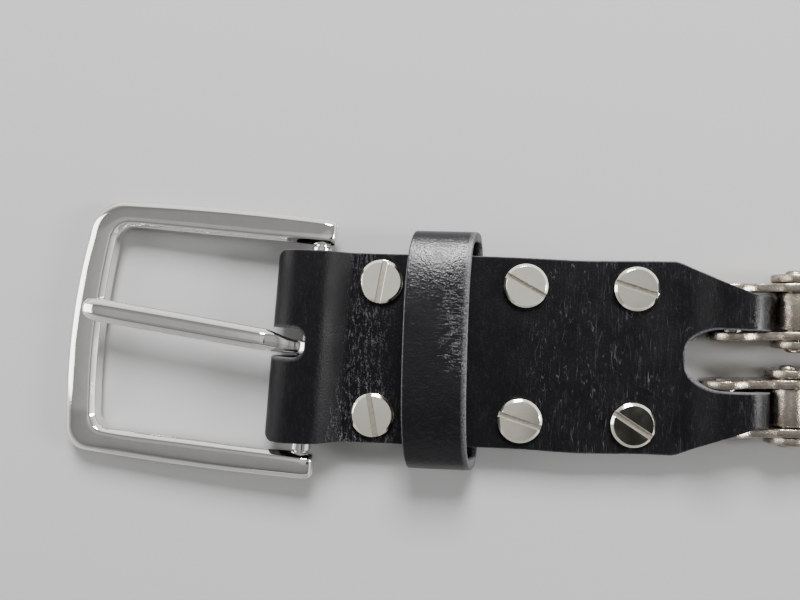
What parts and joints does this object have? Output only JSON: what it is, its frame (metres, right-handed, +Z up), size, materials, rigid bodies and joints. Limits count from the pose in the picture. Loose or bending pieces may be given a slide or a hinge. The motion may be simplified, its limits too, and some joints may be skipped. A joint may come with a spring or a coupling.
{
  "type": "chain belt",
  "caption": "Black leather belt whose middle is two parallel roller chains between forked leather ends, with a square pin buckle, a keeper loop and slotted screw posts.",
  "frame": {"origin": "middle of the belt's underside, on the table it lies on", "axes": "+X along the belt from the buckle to the tip, +Y across it towards the upper chain, +Z up from the table"},
  "size_m": [0.907, 0.0586, 0.0146],
  "materials": {
    "strap_leather": "black satin bridle leather with a plain cut edge",
    "keeper_leather": "smooth black leather, a little glossier",
    "polished_nickel": "polished nickel plate",
    "screw_nickel": "satin nickel plate, lightly worn",
    "chain_nickel": "tarnished nickel plate"
  },
  "bodies": {
    "strap": {"front_strap": "strap_leather", "keeper_loop": "keeper_leather", "front_screw_1_upper": "screw_nickel", "front_screw_1_lower": "screw_nickel", "front_screw_2_upper": "screw_nickel", "front_screw_2_lower": "screw_nickel", "front_screw_3_upper": "screw_nickel", "front_screw_3_lower": "screw_nickel", "upper_chain": "chain_nickel", "lower_chain": "chain_nickel", "tip_strap": "strap_leather", "tip_screw_1_upper": "screw_nickel", "tip_screw_1_lower": "screw_nickel", "tip_screw_2_upper": "screw_nickel", "tip_screw_2_lower": "screw_nickel"},
    "buckle": {"buckle_frame": "polished_nickel", "buckle_bar": "polished_nickel"},
    "tongue": {"buckle_tongue": "polished_nickel"}
  },
  "joints": [
    {"name": "buckle_hinge", "type": "hinge", "parent": "strap", "child": "buckle", "pos_m": [-0.39963, -0.00166, 0.0048], "axis": [0.0732, 0.9973, 0], "range_deg": [-90, 12]},
    {"name": "tongue_hinge", "type": "hinge", "parent": "buckle", "child": "tongue", "pos_m": [-0.39963, -0.00166, 0.0048], "axis": [0.0732, 0.9973, 0], "range_deg": [0, 38]}
  ]
}
